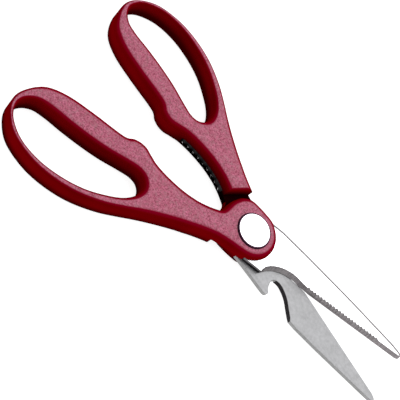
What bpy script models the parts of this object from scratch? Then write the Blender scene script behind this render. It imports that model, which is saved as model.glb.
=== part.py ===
"""Poultry shears: two stamped steel blades with moulded handles, crossed on one pivot screw.

Both halves share one plan.  A half is drawn closed, with the pivot at the origin, its blade
along +X and its handle to -X on the +Y side.  The rear half is that plan as drawn.  The front
half is the same plan turned half a turn about the X axis, so it lies over the rear half and
its handle is on the -Y side.  At rest the shears stand open by OPENING.

Frame: metres, origin on the pivot axis at the rear faces, +X towards the tips along the line
that halves the opening, +Z out of the front face.  Outlines below are written in millimetres.
"""

import math

import bmesh
import bpy
from mathutils import Matrix, Vector

# ---------------------------------------------------------------- driving dimensions (mm)
MM = 0.001                 # metres in a millimetre
MERGE_DISTANCE = 0.00002   # metres; points closer than this are one
OPENING = 17.0             # angle between the halves at rest, degrees
THICKNESS = 11.6           # handles, rear face to front face
EDGE_ROUND = 1.2           # rounding of the handle's edges
STEEL = 2.5                # blade stock
BLADE_GAP = 0.3            # between the two blades' inner faces
SEAT_GAP = 0.25            # between a piece and the pocket that holds it

SHEAR = THICKNESS / 2      # height of the plane where the blades meet
STEEL_TOP = SHEAR - BLADE_GAP / 2
STEEL_BOTTOM = STEEL_TOP - STEEL

HEAD_RADIUS = 13.2         # round front of the handle's head
LOBE_RADIUS = 16.7         # back of the head, which passes the other handle's shoulder
LOBE_END = (-6.5, -14.2)   # where the back of the head runs into its round front
SHOULDER = 19.6            # distance from the pivot to the full-thickness shoulder
SHOULDER_ANGLE = 148.5     # direction of the shoulder's face, degrees
TANG_RIM = 1.2             # plastic left around the steel in the head

BEVEL_WIDTH = 1.4          # ground bevel, measured across the blade
EDGE_LAND = 0.25           # blunt strip left at the cutting edge
SPINE_CHAMFER = 0.5
SERRATION_PITCH = 2.3
SERRATION_DEPTH = 0.45
SERRATED_FROM = 37.0       # x of the first and last scallop on the front blade
SERRATED_TO = 81.0

CAP_RADIUS = 8.45
CAP_DEPTH = 1.0            # how far the caps are set into the handles
CAP_STAND = 0.8            # how far the front cap's rim stands out of the handle
CAP_CROWN = 0.15           # rise of the front cap's middle over its rim
CAP_EDGE = 0.3             # rounding of a cap's rim
SCREW_RADIUS = 3.0
SCREW_POINT = 0.3          # chamfer at the screw's end
BORE_CLEARANCE = 0.1
SCREW_HEAD_RADIUS = 5.6
SCREW_HEAD_EDGE = 0.4      # chamfer round the screw's head
WASHER_RADIUS = 5.8
WASHER_THICKNESS = 0.5
NUT_FLATS = 9.6            # across flats
HARDWARE_WELL = 6.6        # radius of the hole through the head to the steel
FIT = 0.2                  # between pieces of the pivot stack

TOOTH_PITCH = 3.3          # jar jaw
TOOTH_HEIGHT = 0.8
JAW_DEPTH = 1.5            # how far the jaw plate is set into the handle
TOOTH_SINK = 0.7           # how far the roots of its teeth lie inside the handle's side
JAW_LOW = 2.4              # height range of the jaw plate in the rear half
JAW_HIGH = 6.4
JAW_FROM = -54.0           # x range of the jaw plate
JAW_TO = -23.0
JAW_BELOW = 9.0            # the jaw's side of the handle lies under this y
JAW_OPEN = 4.0             # reach of the recess out of the handle
TOOTH_SHAPE = (0.0, 0.5, 1.0, 0.5)

OVERRUN = 1.0              # how far a cutter runs past the face it starts from
REACH = 60.0               # half size of the shoulder cutter
ROUND_STEPS = 4            # facets of the shoulder's rounding
RIM_STEPS = 3              # facets of a cap's rim
CROWN_RINGS = (0.75, 0.5, 0.25)
TURNING_STEPS = 64
HARDWARE_STEPS = 48
NUT_SIDES = 6
POCKET_MOUTH = 17.0        # x where the steel's pocket runs out of the head
POINTS_PER_SCALLOP = 6
BEVEL_RUN_IN = 3           # points over which the ground bevel opens to full width

# ---------------------------------------------------------------- outlines (mm, closed half)
# Outer side of the handle from the shoulder round the loop's end to the stop lug.
HANDLE_BACK = [
    (-9.0, 13.9), (-17.0, 15.4), (-28.4, 19.2), (-43.1, 26.1), (-54.1, 32.5), (-64.0, 37.7),
    (-76.0, 41.8), (-88.0, 43.2), (-99.7, 42.1), (-111.4, 37.6), (-118.4, 30.2),
    (-120.6, 23.0), (-118.5, 15.9), (-112.9, 8.9), (-103.2, 5.2), (-90.0, 4.0), (-76.0, 3.6),
    (-71.3, 2.9),
]
STOP_LUG = [(-68.7, 0.6), (-65.2, -0.35), (-61.5, 0.1), (-58.6, 2.0)]
# Jar jaw: the hollow between the stop lug and the head.
JAR_HOLLOW = [(-54.8, 4.0), (-49.0, 5.4), (-42.5, 6.2), (-36.0, 6.4), (-30.0, 5.8), (-24.5, 4.2)]
HEAD_CORNER = [(-20.2, 2.4), (-17.6, 0.9)]

FINGER_HOLE = [
    (-117.7, 24.6), (-116.0, 19.9), (-111.6, 16.9), (-105.0, 16.0), (-96.0, 16.2),
    (-86.0, 16.0), (-76.0, 15.2), (-66.0, 13.5), (-59.5, 12.8), (-55.0, 14.4),
    (-52.5, 18.6), (-53.6, 23.4), (-57.9, 28.5), (-64.7, 32.9), (-74.1, 37.1),
    (-85.0, 39.4), (-96.4, 39.6), (-107.1, 36.9), (-115.1, 31.0),
]

# Blade edge from the ricasso corner through the bone notch, written from the tip's side.
RICASSO_CORNER = (13.0, 13.0)
RICASSO_ROOT_X = 3.4       # where the blade meets the head's rim
BONE_NOTCH = [(34.0, 4.8), (29.0, 4.4), (24.4, 4.9), (20.2, 6.4), (16.8, 8.7), (14.2, 11.6)]
# Straight cutting edge, from the bone notch to the tip.
FRONT_EDGE = [(40.0, 5.0), (93.5, 2.6)]
REAR_EDGE = [(38.0, 6.0), (93.3, 1.5)]
# Rounded tip, from the spine to the cutting edge.
FRONT_TIP = [(93.2, -0.9), (95.5, -0.3), (96.6, 0.7), (95.8, 1.8)]
REAR_TIP = [(92.8, -2.0), (95.1, -1.4), (96.3, -0.4), (95.5, 0.7)]
TIP_SPLIT = 6              # points of the smoothed tip that belong to the spine
# Spine, from the head to the tip.
HEEL = (14.0, -12.4)
PLAIN_SPINE = [(30.0, -10.5), (60.0, -6.3)]
# Bottle opener hook, cut into the rear blade's spine.
OPENER_HOOK = [(24.4, -12.6), (26.0, -12.0), (26.1, -10.5), (24.2, -8.4)]
OPENER_HOLLOW = [(23.2, -5.4), (24.2, -3.0), (27.0, -2.1), (30.6, -2.7), (34.4, -4.3), (38.0, -6.8)]
OPENER_KNEE = [(41.2, -9.0), (42.6, -10.6)]
OPENER_SPINE = [(46.5, -10.3), (60.0, -8.1)]

TANG_HALF_WIDTH = 3.2
TANG_LINE = [(-10.5, 5.8), (-28.0, 11.8), (-44.0, 15.6)]

# ---------------------------------------------------------------- scene
COLLECTION = "poultry_shears"


def new_collection(name):
    collection = bpy.data.collections.new(name)
    bpy.context.scene.collection.children.link(collection)
    return collection


def clear_scene():
    for obj in list(bpy.data.objects):
        bpy.data.objects.remove(obj, do_unlink=True)


def material(name, color, metallic, roughness):
    mat = bpy.data.materials.new(name)
    mat.use_nodes = True
    shader = mat.node_tree.nodes["Principled BSDF"]
    shader.inputs["Base Color"].default_value = (*color, 1.0)
    shader.inputs["Metallic"].default_value = metallic
    shader.inputs["Roughness"].default_value = roughness
    return mat


# ---------------------------------------------------------------- plane geometry
def polar(radius, angle):
    a = math.radians(angle)
    return (radius * math.cos(a), radius * math.sin(a))


def arc(radius, start, end, count):
    """Points on a circle about the pivot, both ends included."""
    return [polar(radius, start + (end - start) * i / (count - 1)) for i in range(count)]


def smooth(points, per_span, closed=False):
    """Catmull-Rom curve through the points, as per_span points for each span."""
    count = len(points)
    spans = count if closed else count - 1
    out = []
    for i in range(spans):
        if closed:
            p0, p1, p2, p3 = (Vector(points[(i + k) % count]) for k in (-1, 0, 1, 2))
        else:
            p1 = Vector(points[i])
            p2 = Vector(points[i + 1])
            p0 = Vector(points[i - 1]) if i else 2 * p1 - p2
            p3 = Vector(points[i + 2]) if i + 2 < count else 2 * p2 - p1
        for k in range(per_span):
            t = k / per_span
            a = 2 * p1
            b = (p2 - p0) * t
            c = (2 * p0 - 5 * p1 + 4 * p2 - p3) * t ** 2
            d = (3 * p1 - p0 - 3 * p2 + p3) * t ** 3
            out.append(tuple((a + b + c + d) / 2))
    if not closed:
        out.append(tuple(points[-1]))
    return out


def normals(outline):
    """Unit normals pointing into an anticlockwise outline, one for each point."""
    count = len(outline)
    result = []
    for i in range(count):
        before = (Vector(outline[i]) - Vector(outline[i - 1])).normalized()
        after = (Vector(outline[(i + 1) % count]) - Vector(outline[i])).normalized()
        tangent = (before + after).normalized()
        result.append(Vector((-tangent.y, tangent.x)))
    return result


def inset(outline, depths):
    """Move each point into the outline by its own depth; a negative depth moves it out."""
    return [tuple(Vector(p) + n * d) for p, n, d in zip(outline, normals(outline), depths)]


def grown(outline, margin):
    return inset(outline, [-margin] * len(outline))


# ---------------------------------------------------------------- solids
def add_mesh_object(name, mesh, collection):
    obj = bpy.data.objects.new(name, mesh)
    collection.objects.link(obj)
    return obj


def loft(name, rings, collection):
    """Closed solid through rings of equal point count, each (outline, height), lowest first."""
    bm = bmesh.new()
    loops = [[bm.verts.new((x * MM, y * MM, z * MM)) for x, y in outline] for outline, z in rings]
    for low, high in zip(loops, loops[1:]):
        for i in range(len(low)):
            j = (i + 1) % len(low)
            bm.faces.new((low[i], low[j], high[j], high[i]))
    bm.faces.new(loops[-1])
    bm.faces.new(list(reversed(loops[0])))
    bmesh.ops.recalc_face_normals(bm, faces=bm.faces)
    mesh = bpy.data.meshes.new(name)
    bm.to_mesh(mesh)
    bm.free()
    return add_mesh_object(name, mesh, collection)


def prism(name, outline, low, high, collection):
    return loft(name, [(outline, low), (outline, high)], collection)


def rounded_plate(name, outlines, thickness, edge_round, collection):
    """Plate from closed outlines, holes included, with every edge rounded."""
    curve = bpy.data.curves.new(name, "CURVE")
    curve.dimensions = "2D"
    curve.fill_mode = "BOTH"
    curve.extrude = (thickness / 2 - edge_round) * MM
    curve.bevel_depth = edge_round * MM
    curve.bevel_resolution = 2
    curve.offset = -edge_round * MM
    for outline in outlines:
        spline = curve.splines.new("POLY")
        spline.points.add(len(outline) - 1)
        for point, (x, y) in zip(spline.points, outline):
            point.co = (x * MM, y * MM, 0.0, 1.0)
        spline.use_cyclic_u = True
    guide = bpy.data.objects.new(name, curve)
    collection.objects.link(guide)
    bpy.context.view_layer.update()
    evaluated = guide.evaluated_get(bpy.context.evaluated_depsgraph_get())
    mesh = bpy.data.meshes.new_from_object(evaluated)
    bpy.data.objects.remove(guide, do_unlink=True)
    bm = bmesh.new()
    bm.from_mesh(mesh)
    bmesh.ops.remove_doubles(bm, verts=bm.verts, dist=MERGE_DISTANCE)
    bmesh.ops.translate(bm, verts=bm.verts, vec=(0.0, 0.0, thickness / 2 * MM))
    bmesh.ops.recalc_face_normals(bm, faces=bm.faces)
    bm.to_mesh(mesh)
    bm.free()
    return add_mesh_object(name, mesh, collection)


def cylinder(name, radius, low, high, collection, sides=TURNING_STEPS):
    bm = bmesh.new()
    depth = (high - low) * MM
    bmesh.ops.create_cone(bm, cap_ends=True, segments=sides, radius1=radius * MM,
                          radius2=radius * MM, depth=depth,
                          matrix=Matrix.Translation((0.0, 0.0, (low + high) / 2 * MM)))
    mesh = bpy.data.meshes.new(name)
    bm.to_mesh(mesh)
    bm.free()
    return add_mesh_object(name, mesh, collection)


def turned(name, profile, collection, steps=TURNING_STEPS):
    """Solid turned about the pivot axis from (radius, height) points, top to bottom."""
    points = [(r * MM, 0.0, z * MM) for r, z in profile]
    edges = [(i, i + 1) for i in range(len(profile) - 1)]
    mesh = bpy.data.meshes.new(name)
    mesh.from_pydata(points, edges, [])
    obj = add_mesh_object(name, mesh, collection)
    screw = obj.modifiers.new("turn", "SCREW")
    screw.steps = steps
    screw.render_steps = steps
    screw.use_merge_vertices = True
    screw.merge_threshold = MERGE_DISTANCE
    screw.use_smooth_shade = True
    return obj


def cut(obj, cutter):
    cutter.hide_render = True
    cutter.display_type = "WIRE"
    modifier = obj.modifiers.new(cutter.name, "BOOLEAN")
    modifier.operation = "DIFFERENCE"
    modifier.solver = "EXACT"
    modifier.object = cutter


# ---------------------------------------------------------------- outlines of one half
def handle_outline():
    """Anticlockwise from the head's round front, over the handle and back along the lobe."""
    front = arc(HEAD_RADIUS, -70.0, 85.0, 8)
    lobe = arc(LOBE_RADIUS, 187.0, 226.0, 4)
    corners = front + HANDLE_BACK + STOP_LUG + JAR_HOLLOW + HEAD_CORNER + lobe + [LOBE_END]
    return smooth(corners, 3, closed=True)


def tang_sides():
    """Upper and lower side of the tang, both from the head to the tang's end."""
    line = [Vector(p) for p in TANG_LINE]
    upper = []
    lower = []
    for i, point in enumerate(line):
        ahead = line[min(i + 1, len(line) - 1)] - line[max(i - 1, 0)]
        side = Vector((ahead.y, -ahead.x)).normalized() * TANG_HALF_WIDTH
        upper.append(tuple(point + side))
        lower.append(tuple(point - side))
    return upper, lower


def blade_outline(spine, tip_points, edge):
    """Anticlockwise outline of a blade with its tang, and how many points make the ground edge.

    The ground edge comes first: half of the tip, the straight edge and the bone notch.
    """
    end, start = [Vector(p) for p in edge]
    count = round((end - start).length / (SERRATION_PITCH / POINTS_PER_SCALLOP))
    straight = [tuple(start.lerp(end, i / count)) for i in range(1, count)]
    tip = smooth(tip_points + [edge[1]], 3)
    notch = smooth([edge[0]] + BONE_NOTCH + [RICASSO_CORNER], 3)
    ground = tip[TIP_SPLIT:] + straight + notch[:-1]
    rim = HEAD_RADIUS - TANG_RIM
    upper, lower = tang_sides()
    over = [RICASSO_CORNER, (RICASSO_ROOT_X, RICASSO_CORNER[1])] + arc(rim, 80.0, 132.0, 5) + upper
    under = lower[::-1] + arc(rim, 169.0, 264.0, 8) + [(RICASSO_ROOT_X, HEEL[1])]
    return ground + over + under + spine + tip[:TIP_SPLIT], len(ground)


def jaw_line(points):
    """The stretch of the handle's outline that the jar jaw covers, evenly spaced."""
    stretch = [p for p in points if JAW_FROM <= p[0] <= JAW_TO and p[1] < JAW_BELOW]
    lengths = [0.0]
    for a, b in zip(stretch, stretch[1:]):
        lengths.append(lengths[-1] + (Vector(b) - Vector(a)).length)
    teeth = round(lengths[-1] / TOOTH_PITCH)
    count = teeth * len(TOOTH_SHAPE)
    line = []
    k = 0
    for i in range(count + 1):
        s = lengths[-1] * i / count
        while k < len(lengths) - 2 and lengths[k + 1] < s:
            k += 1
        t = (s - lengths[k]) / (lengths[k + 1] - lengths[k])
        line.append(Vector(stretch[k]).lerp(Vector(stretch[k + 1]), t))
    return line


def line_normals(line):
    """Unit normals on the left of an open line."""
    result = []
    for i in range(len(line)):
        ahead = line[min(i + 1, len(line) - 1)] - line[max(i - 1, 0)]
        result.append(Vector((-ahead.y, ahead.x)).normalized())
    return result


def jaw_outline(line, proud, depth, tooth, ends):
    """Outline of the jaw plate: a toothed side out of the handle and a plain side in it."""
    sides = line_normals(line)
    along = (line[1] - line[0]).normalized() * ends
    beyond = (line[-1] - line[-2]).normalized() * ends
    shifted = [line[0] - along] + line[1:-1] + [line[-1] + beyond]
    toothed = []
    for i, (point, side) in enumerate(zip(shifted, sides)):
        rise = tooth * TOOTH_SHAPE[i % len(TOOTH_SHAPE)]
        toothed.append(tuple(point - side * (proud + rise)))
    back = [tuple(point + side * depth) for point, side in zip(shifted, sides)]
    return toothed + back[::-1]


# ---------------------------------------------------------------- pieces of one half
def shoulder_cutter(cutters, name):
    """Takes the upper level off the head, and rounds the top of the shoulder that is left."""
    low = STEEL_TOP
    high = THICKNESS + EDGE_ROUND
    foot = THICKNESS - EDGE_ROUND
    profile = [(-REACH, low), (SHOULDER, low), (SHOULDER, foot)]
    for i in range(1, ROUND_STEPS + 1):
        a = math.pi / 2 * i / ROUND_STEPS
        out = SHOULDER + EDGE_ROUND * (1 - math.cos(a))
        profile.append((out, foot + EDGE_ROUND * math.sin(a)))
    profile += [(SHOULDER + EDGE_ROUND, high), (-REACH, high)]
    cutter = prism(name, profile, -REACH, REACH, cutters)
    outward = Vector((*polar(1.0, SHOULDER_ANGLE), 0.0))
    up = Vector((0.0, 0.0, 1.0))
    cutter.data.transform(Matrix((outward, up, outward.cross(up))).transposed().to_4x4())
    return cutter


def make_handle(name, steel_outline, parts, cutters, mat):
    outline = handle_outline()
    hole = smooth(FINGER_HOLE, 3, closed=True)
    handle = rounded_plate(name, [outline, hole], THICKNESS, EDGE_ROUND, parts)
    cut(handle, shoulder_cutter(cutters, name + "_shoulder_cut"))
    recess = jaw_outline(jaw_line(outline), JAW_OPEN, JAW_DEPTH + SEAT_GAP, 0.0, SEAT_GAP)
    cut(handle, prism(name + "_jaw_cut", recess, JAW_LOW - SEAT_GAP, JAW_HIGH + SEAT_GAP, cutters))
    root = [p for p in steel_outline if p[0] < POCKET_MOUTH]
    pocket = prism(name + "_tang_cut", grown(root, SEAT_GAP), STEEL_BOTTOM - SEAT_GAP,
                   STEEL_TOP + SEAT_GAP, cutters)
    cut(handle, pocket)
    seat = CAP_RADIUS + SEAT_GAP
    cut(handle, cylinder(name + "_cap_cut", seat, -OVERRUN, CAP_DEPTH, cutters))
    cut(handle, cylinder(name + "_well_cut", HARDWARE_WELL, -2 * OVERRUN, SHEAR, cutters))
    handle.data.materials.append(mat)
    return handle


def make_blade(name, outline, ground_count, serrated, parts, cutters, mat):
    height = STEEL - EDGE_LAND
    outer = []
    shoulder = []
    inner = []
    for i, (x, _) in enumerate(outline):
        if i < ground_count:
            from_ends = min(i, ground_count - 1 - i)
            width = BEVEL_WIDTH * min(1.0, (from_ends + 1) / BEVEL_RUN_IN)
            scallop = 0.0
            if serrated and SERRATED_FROM < x < SERRATED_TO:
                turn = math.pi * (x - SERRATED_FROM) / SERRATION_PITCH
                scallop = SERRATION_DEPTH * abs(math.sin(turn))
            outer.append(width + scallop)
            shoulder.append((width + scallop) * (height - SPINE_CHAMFER) / height)
            inner.append(0.0)
        else:
            outer.append(SPINE_CHAMFER)
            shoulder.append(0.0)
            inner.append(SPINE_CHAMFER / 2)
    rings = [
        (inset(outline, outer), STEEL_BOTTOM),
        (inset(outline, shoulder), STEEL_BOTTOM + SPINE_CHAMFER),
        (outline, STEEL_TOP - EDGE_LAND),
        (inset(outline, inner), STEEL_TOP),
    ]
    blade = loft(name, rings, parts)
    cut(blade, cylinder(name + "_bore_cut", SCREW_RADIUS + BORE_CLEARANCE, 0.0, THICKNESS, cutters))
    blade.data.materials.append(mat)
    return blade


def make_jaw(name, parts, mat):
    line = jaw_line(handle_outline())
    outline = jaw_outline(line, -TOOTH_SINK, JAW_DEPTH, TOOTH_HEIGHT, 0.0)
    jaw = prism(name, outline, JAW_LOW, JAW_HIGH, parts)
    jaw.data.materials.append(mat)
    return jaw


def make_cap(name, stand, crown, parts, mat):
    """Disc in the head's outer face; its outer side is the low one in the half's own frame."""
    profile = [
        (0.0, CAP_DEPTH), (CAP_RADIUS - CAP_EDGE, CAP_DEPTH), (CAP_RADIUS, CAP_DEPTH - CAP_EDGE),
    ]
    for i in range(RIM_STEPS + 1):
        a = math.pi / 2 * i / RIM_STEPS
        radius = CAP_RADIUS - CAP_EDGE * (1 - math.cos(a))
        profile.append((radius, CAP_EDGE * (1 - math.sin(a)) - stand))
    if crown:
        profile += [(CAP_RADIUS * k, -stand - crown * (1 - k * k)) for k in CROWN_RINGS]
    profile.append((0.0, -stand - crown))
    cap = turned(name, profile, parts)
    cap.data.materials.append(mat)
    return cap


# ---------------------------------------------------------------- pivot hardware
def make_screw(parts, mat):
    """Shaft with a flat round head under the front cap."""
    seat = THICKNESS - STEEL_BOTTOM + FIT + WASHER_THICKNESS + FIT
    top = THICKNESS - CAP_DEPTH - FIT
    end = CAP_DEPTH + FIT
    head = SCREW_HEAD_RADIUS
    profile = [
        (0.0, top), (head - SCREW_HEAD_EDGE, top), (head, top - SCREW_HEAD_EDGE), (head, seat),
        (SCREW_RADIUS, seat), (SCREW_RADIUS, end + SCREW_POINT),
        (SCREW_RADIUS - SCREW_POINT, end), (0.0, end),
    ]
    screw = turned("pivot_screw", profile, parts, HARDWARE_STEPS)
    screw.data.materials.append(mat)
    return screw


def make_washer(parts, mat):
    """Coned spring washer that keeps the blades pressed together."""
    low = THICKNESS - STEEL_BOTTOM + FIT
    bore = SCREW_RADIUS + BORE_CLEARANCE
    half = WASHER_THICKNESS / 2
    profile = [
        (bore, low + 2 * half), (WASHER_RADIUS, low + half), (WASHER_RADIUS, low),
        (bore, low + half), (bore, low + 2 * half),
    ]
    washer = turned("spring_washer", profile, parts, HARDWARE_STEPS)
    washer.data.materials.append(mat)
    return washer


def make_nut(parts, cutters, mat):
    low = CAP_DEPTH + FIT
    high = STEEL_BOTTOM - FIT
    nut = cylinder("pivot_nut", NUT_FLATS / math.sqrt(3.0), low, high, parts, NUT_SIDES)
    bore = cylinder("pivot_nut_bore_cut", SCREW_RADIUS + BORE_CLEARANCE, low - OVERRUN,
                    high + OVERRUN, cutters, HARDWARE_STEPS)
    cut(nut, bore)
    nut.data.materials.append(mat)
    return nut


# ---------------------------------------------------------------- assembly
def empty(name, collection, location, rotation):
    obj = bpy.data.objects.new(name, None)
    obj.empty_display_size = 0.01
    obj.location = location
    obj.rotation_euler = rotation
    collection.objects.link(obj)
    return obj


def hang(parent, children):
    for child in children:
        child.parent = parent


def main():
    clear_scene()
    parts = new_collection(COLLECTION)
    cutters = new_collection("cutters")
    plastic = (0.32, 0.01, 0.03)
    steel = (0.62, 0.62, 0.63)

    rear_spine = [HEEL] + smooth(OPENER_HOOK + OPENER_HOLLOW, 2) + OPENER_KNEE + OPENER_SPINE
    front_spine = [HEEL] + PLAIN_SPINE
    rear = blade_outline(rear_spine, REAR_TIP, REAR_EDGE)
    front = blade_outline(front_spine, FRONT_TIP, FRONT_EDGE)
    halves = {"rear": (rear, False, 0.0, 0.0), "front": (front, True, CAP_STAND, CAP_CROWN)}
    pieces = {}
    for side, ((outline, ground_count), serrated, stand, crown) in halves.items():
        handle = make_handle(side + "_handle", outline, parts, cutters,
                             material(side + "_handle", plastic, 0.0, 0.4))
        blade = make_blade(side + "_blade", outline, ground_count, serrated, parts, cutters,
                           material(side + "_blade", steel, 1.0, 0.3))
        jaw = make_jaw(side + "_jar_jaw", parts,
                       material(side + "_jar_jaw", (0.08, 0.08, 0.08), 1.0, 0.35))
        cap = make_cap(side + "_cap", stand, crown, parts,
                       material(side + "_cap", (0.8, 0.8, 0.8), 1.0, 0.12))
        own_cutters = [c for c in cutters.objects if c.name.startswith(side) and c.parent is None]
        pieces[side] = [handle, blade, jaw, cap] + own_cutters

    turn = math.radians(OPENING / 2)
    hang(empty("rear_half", parts, (0.0, 0.0, 0.0), (0.0, 0.0, -turn)), pieces["rear"])
    hang(empty("front_half", parts, (0.0, 0.0, THICKNESS * MM), (math.pi, 0.0, turn)), pieces["front"])

    zinc = (0.55, 0.56, 0.58)
    make_screw(parts, material("pivot_screw", zinc, 1.0, 0.35))
    make_washer(parts, material("spring_washer", zinc, 1.0, 0.4))
    make_nut(parts, cutters, material("pivot_nut", zinc, 1.0, 0.4))


main()
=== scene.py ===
"""Looks of the poultry shears: finer handles, blades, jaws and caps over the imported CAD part.

Outlines are in millimetres on the plan of one closed half, with the pivot at the origin, the
blade along +X and the handle to -X on the +Y side.  The rear half is that plan turned by half
the opening; the front half is the same plan turned over onto it.
"""
import math

import bmesh
import bpy
from mathutils import Matrix, Vector
from mathutils.geometry import tessellate_polygon


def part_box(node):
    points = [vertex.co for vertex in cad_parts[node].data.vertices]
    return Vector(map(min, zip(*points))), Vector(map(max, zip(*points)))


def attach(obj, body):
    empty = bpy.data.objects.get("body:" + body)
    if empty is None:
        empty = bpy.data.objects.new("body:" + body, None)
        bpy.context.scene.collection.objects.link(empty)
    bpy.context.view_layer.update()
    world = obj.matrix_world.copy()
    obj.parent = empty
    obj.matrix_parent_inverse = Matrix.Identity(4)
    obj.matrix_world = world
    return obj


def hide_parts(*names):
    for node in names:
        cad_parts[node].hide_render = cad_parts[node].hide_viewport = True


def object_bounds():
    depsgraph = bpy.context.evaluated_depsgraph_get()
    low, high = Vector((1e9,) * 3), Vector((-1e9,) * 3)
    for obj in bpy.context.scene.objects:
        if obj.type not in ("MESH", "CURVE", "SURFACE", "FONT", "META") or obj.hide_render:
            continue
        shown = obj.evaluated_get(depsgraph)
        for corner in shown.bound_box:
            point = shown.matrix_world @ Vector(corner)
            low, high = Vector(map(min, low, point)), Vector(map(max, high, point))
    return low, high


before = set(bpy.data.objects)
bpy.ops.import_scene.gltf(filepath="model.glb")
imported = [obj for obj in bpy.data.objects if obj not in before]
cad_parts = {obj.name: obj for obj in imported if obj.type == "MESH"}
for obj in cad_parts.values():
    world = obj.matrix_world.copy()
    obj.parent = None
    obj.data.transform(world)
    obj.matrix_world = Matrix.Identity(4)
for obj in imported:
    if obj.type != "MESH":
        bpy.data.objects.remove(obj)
cad_low, cad_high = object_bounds()

MM = 0.001

# ---------------------------------------------------------------- sizes (mm)
THICKNESS = (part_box("rear_handle")[1].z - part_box("rear_handle")[0].z) / MM
BLADE_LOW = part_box("rear_blade")[0].z / MM
BLADE_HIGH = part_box("rear_blade")[1].z / MM
JAW_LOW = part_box("rear_jar_jaw")[0].z / MM
JAW_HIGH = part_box("rear_jar_jaw")[1].z / MM
OPENING = 17.0              # angle between the halves at rest, degrees
OUTLINE_STEP = 0.7          # spacing of the points on a handle's outlines
CURVE_STEPS = 6             # points on each span of a blade's curves
HANDLE_STEPS = 8            # and of a handle's curves
TURNING_STEPS = 128
BORE_STEPS = 64

OUTER_ROUND = 3.7           # width of the rounding along the handle's outer side
HOLE_ROUND = 3.4            # and round the finger hole
ROUND_DROP = 2.7            # height of the roundings
ROUND_SHARE = 0.48          # a rounding's share of the bar's width where the bar is thin
CURVE_SHARE = 0.8           # rounding's share of the outline's own radius at a tight corner
TIGHT_TURN = 0.05           # turn, in radians, from which it counts as such a corner
TURN_REACH = 3              # points on each side over which the turn is measured
BLUR_REACH = 4              # points on each side that share the smallest rounding
BLUR_PASSES = 12
ROUND_FACETS = 7
CAD_ROUND = 1.5             # rounding the outlines were drawn for
SPREAD = 0.32               # how far a softer edge stands out for each millimetre of rounding
HEAD_REACH = 20.0           # the head inside this radius keeps the drawn outline
HEAD_BLEND = 12.0           # length over which the handle takes up its spread
LUG_CLEAR = 3.0             # below this y the two handles meet, so the spread fades out

HEAD_RADIUS = 13.2
LOBE_RADIUS = 16.7
LOBE_END = (-6.5, -14.2)
SHOULDER = 19.6             # distance of the handle's step from the pivot
SHOULDER_ANGLE = 148.5      # direction of the step, degrees
SHOULDER_ROUND = 2.2
OVERRUN = 3.0               # how far the step's cutter passes the top of the material
CAP_OVERRUN = 1.0           # and the cap's cutter the lower side
FAR = 60.0                  # a cutter's reach where it has no end
TANG_END = 17.0             # x up to which the handle holds the blade
TANG_CLEAR = 0.25
TANG_CLEAR_HIGH = 0.2
WELL_RADIUS = 6.6           # space for the screw head, the washer and the nut
WELL_LOW = 1.0
WELL_HIGH = 5.8

BEVEL_WIDTH = {"rear": 1.5, "front": 1.05}
BEVEL_HOLLOW = (0.6, 0.5)   # the hollow grind's bend, as shares of the bevel's width and height
BEVEL_RUN_IN = 9            # points over which the bevel takes up its width at each end
NOTCH_BEVEL = 1.6           # the front blade's bevel in its bone notch
NOTCH_BLEND = 8.0
EDGE_LAND = 0.12            # height of the flat along the cutting edge
INNER_EDGE = 0.18           # width of the inner face's broken edge
CHAMFER = {"rear": (0.55, 0.4), "front": (1.2, 0.35)}   # width and height along the spine
ROOT_CHAMFER = (0.45, 0.8)
ROOT_REACH = 14.5           # x up to which the blade's edge side is its unground root
ROOT_INSET = 1.2            # the blade's round root inside the handle's head
OPENER_FLARE = 0.4          # the opener's wall leans out this much at its lower edge
OPENER_FLARE_SHARE = 0.8    # and this share of it at the chamfer's height
OPENER_WALL = ((24.3, 42.0), (-10.2, 0.0))   # x and y of the opener's wall, which gets painted shade
SERRATION_PITCH = 1.9
SERRATION_DEPTH = 0.8
SERRATED_FROM = 37.0
SERRATED_TO = 81.0
EDGE_POINTS = 10            # points in one serration

CAP_RADIUS = 8.6
CAP_DEPTH = 1.0
CAP_STAND = 0.8             # how far the front cap's rim stands above the handle
CAP_CROWN = 0.15
CAP_CROWN_SHARE = 0.1       # the crown's share left where the painted shade ring starts
CAP_EDGE = 0.35
CAP_EDGE_STEPS = 6
CAP_BREAK = 0.1             # broken edge at the cap's hidden side
CAP_RINGS = 12
CAP_RIM = 0.7               # ring round the polished middle, painted with shade and a reflection of the handle
CAP_GROOVE = 0.2            # open ring between the cap and the handle
GROOVE_DEPTH = 1.6
SCREW_BORE = 3.1

TOOTH_PITCH = 3.3
TOOTH_HEIGHT = 0.8
TOOTH_SINK = 0.7            # how far the teeth's feet lie inside the handle's wall
TOOTH_POINTS = 4            # points in one tooth: foot, flank, tip, flank
TOOTH_GLINT = 0.9            # height up to which one flank of a tooth carries a painted highlight
JAW_DEPTH = 1.5
JAW_BREAK = 0.15            # width of the jaw's broken edges
JAW_BREAK_HIGH = 0.2        # and their height
JAW_CLEAR = 0.2
JAW_RECESS = 4.0            # how far the recess is cut past the handle's wall
JAW_FROM = -54.0
JAW_TO = -23.0
JAW_BELOW = 9.0             # the hollow's wall lies below this y
HOLLOW_WALL = ((-66.0, -18.0), (-6.0, 9.5))   # x and y of the handle wall over the jaw

WALL_SLOPE = 0.6            # sideways part of a normal from which a face is a wall
HOLE_WALL_REACH = 2.0       # spacing of the hole's test points, and a hole wall's reach from one
STEP_BEHIND = 0.5           # reach of the step's wall towards the pivot
SHARP_HANDLE = 40.0         # angles from which an edge is shaded sharp, degrees
SHARP_BLADE = 28.0
SHARP_JAW = 25.0
SHARP_CAP = 30.0

HOLE = 1                    # a handle's material slots with painted shade, after its plain plastic
HOLLOW = 2
GROUND = 1                  # a blade's material slots after its faces
SAWN = 2
SHADED = 3
GLINT = 1                    # the jaw's second slot, a painted highlight
RIM = 1                     # the cap's second slot, the painted shade ring
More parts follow.
